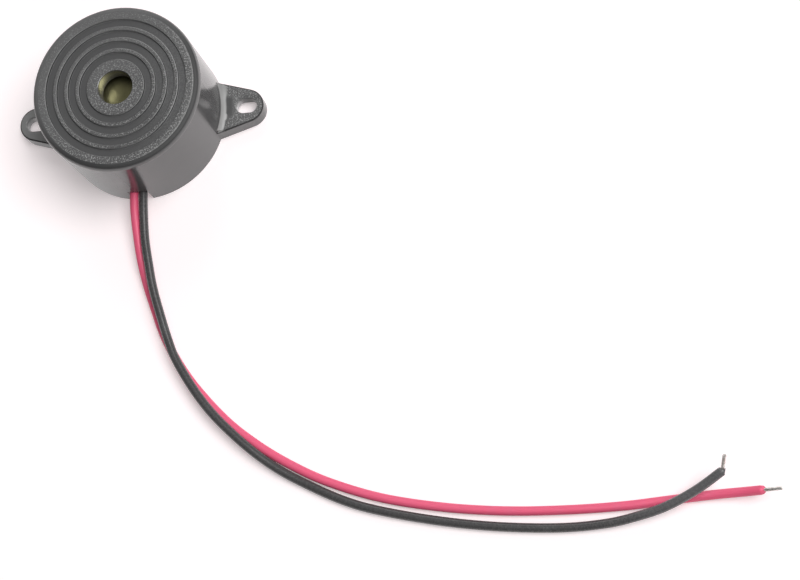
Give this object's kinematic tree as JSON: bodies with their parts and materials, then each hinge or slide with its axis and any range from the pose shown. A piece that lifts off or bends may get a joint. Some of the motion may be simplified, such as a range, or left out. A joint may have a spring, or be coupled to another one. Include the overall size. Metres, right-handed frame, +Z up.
{
  "type": "piezo buzzer",
  "caption": "Round black moulded piezo buzzer with a ring-grooved top, central sound hole, slotted mounting ears and a red and a black lead with tinned ends.",
  "frame": {"origin": "centre of the round case, on the plane of its underside and ears", "axes": "+Z up out of the sound hole, +X through one mounting ear, -Y out through the lead notch"},
  "size_m": [0.0995, 0.0714, 0.013],
  "materials": {
    "case_plastic": "spark-textured moulded top faces, smooth moulded sides",
    "brass": "plain rolled brass",
    "piezo_ceramic": "matte fired ceramic",
    "silver": "satin fired silver",
    "sealant": "cured silicone sealant",
    "board_laminate": "bare paper-phenolic board",
    "copper": "lacquered copper",
    "transistor_epoxy": "moulded epoxy",
    "tinned_metal": "tin plate",
    "resistor_body": "black glaze",
    "yellow_wire": "smooth PVC",
    "white_wire": "smooth PVC",
    "blue_wire": "smooth PVC",
    "solder": "bright solder",
    "red_insulation": "satin PVC",
    "tinned_copper": "tinned twisted strands",
    "black_insulation": "satin PVC"
  },
  "bodies": {
    "root": {"housing": "case_plastic", "diaphragm": "brass", "piezo_ceramic": "piezo_ceramic", "drive_electrode": "silver", "feedback_electrode": "silver", "disc_bead": "sealant", "circuit_board": "board_laminate", "copper_tracks": "copper", "board_bead": "sealant", "transistor_body": "transistor_epoxy", "transistor_legs": "tinned_metal", "resistor_bodies": "resistor_body", "resistor_caps": "tinned_metal", "plate_wire": "yellow_wire", "drive_wire": "white_wire", "feedback_wire": "blue_wire", "disc_solder": "solder", "board_solder": "solder", "red_lead": "red_insulation", "red_conductor": "tinned_copper", "black_lead": "black_insulation", "black_conductor": "tinned_copper"}
  },
  "joints": []
}
